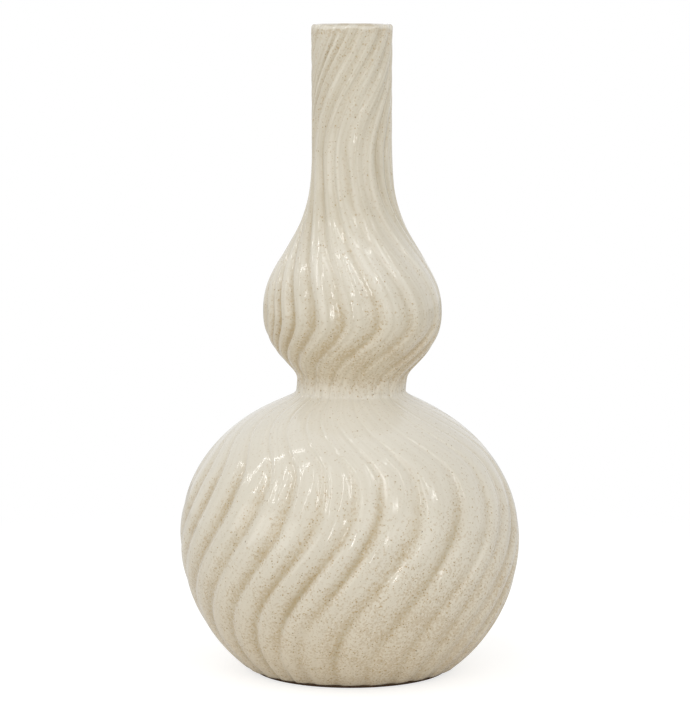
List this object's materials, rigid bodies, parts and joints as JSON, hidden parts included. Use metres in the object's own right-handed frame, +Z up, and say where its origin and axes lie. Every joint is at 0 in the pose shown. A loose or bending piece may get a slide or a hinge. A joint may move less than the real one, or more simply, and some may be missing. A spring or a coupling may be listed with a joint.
{
  "type": "double gourd vase",
  "caption": "Free-standing double gourd vase with a tall straight neck, carved all over with flutes that swing to and fro in an S.",
  "frame": {"origin": "middle of the footprint, on the plane of the foot ring's face", "axes": "+Z up along the vase's axis, -Y towards the viewer, +X to the viewer's right"},
  "size_m": [0.2108, 0.2104, 0.4],
  "materials": {
    "glazed_clay": "gloss cream glaze with ochre speckles",
    "bare_clay": "matte unglazed brown clay",
    "slip": "matte fired slip",
    "liner": "gloss clear cream glaze"
  },
  "bodies": {
    "root": {"foot_ring": "bare_clay", "lower_bulb": "glazed_clay", "waist_seam": "slip", "upper_bulb": "glazed_clay", "neck_seam": "slip", "neck": "glazed_clay", "liner_glaze": "liner"}
  },
  "joints": []
}
